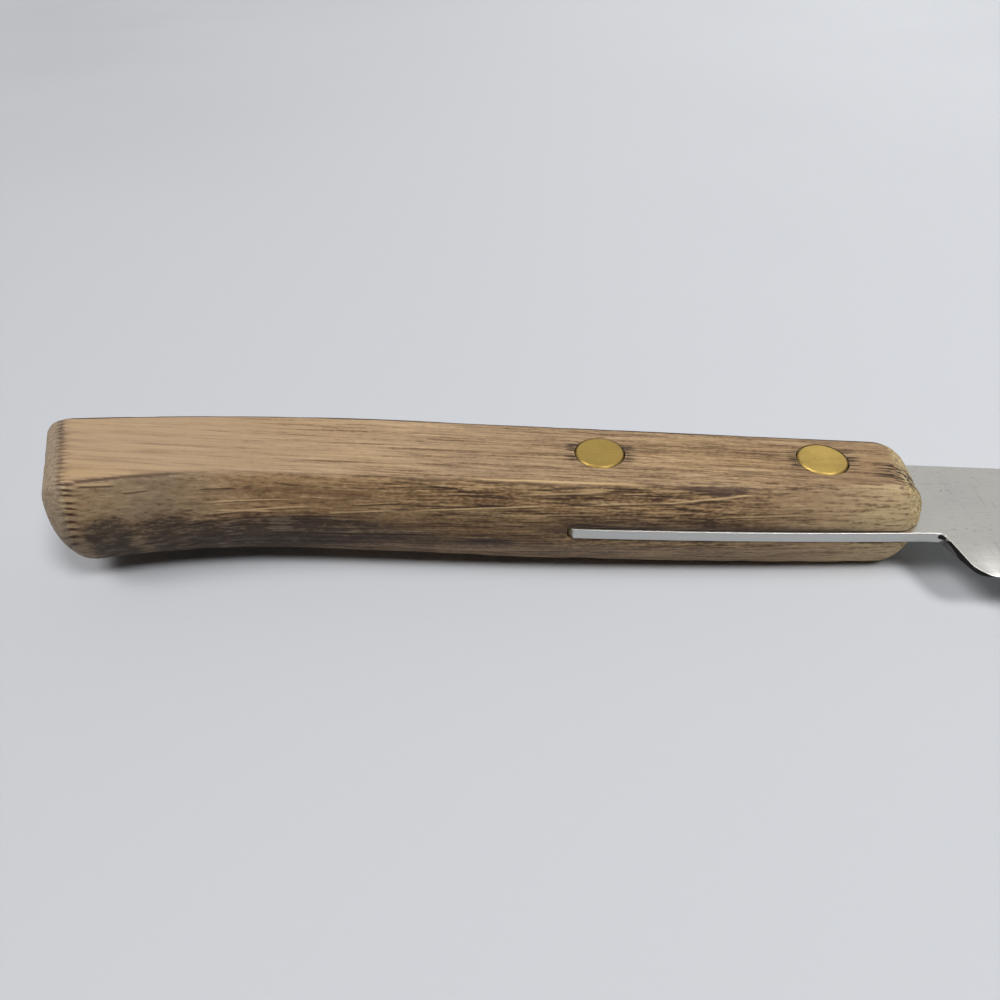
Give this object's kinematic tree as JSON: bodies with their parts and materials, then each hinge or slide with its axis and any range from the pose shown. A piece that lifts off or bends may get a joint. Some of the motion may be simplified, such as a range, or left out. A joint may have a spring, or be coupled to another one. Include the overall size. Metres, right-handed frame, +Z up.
{
  "type": "carving knife",
  "caption": "Carving knife with a flat-ground steel blade, a half tang let into a slotted wooden handle, and flush brass cutler's rivets through the grip.",
  "frame": {"origin": "middle of the knife's box, on the surface that it lies on", "axes": "+X from the butt to the tip, +Y from the cutting edge to the spine, +Z up, across the thickness of the handle"},
  "size_m": [0.3636, 0.0248, 0.0148],
  "materials": {
    "steel": "satin ground, fine scratches",
    "wood": "worn bare hardwood, darkened by handling",
    "brass": "ground flush, dull satin"
  },
  "bodies": {
    "root": {"blade": "steel", "handle": "wood", "front_rivet_tube": "brass", "front_rivet_pin": "brass", "rear_rivet_tube": "brass", "rear_rivet_pin": "brass"}
  },
  "joints": []
}
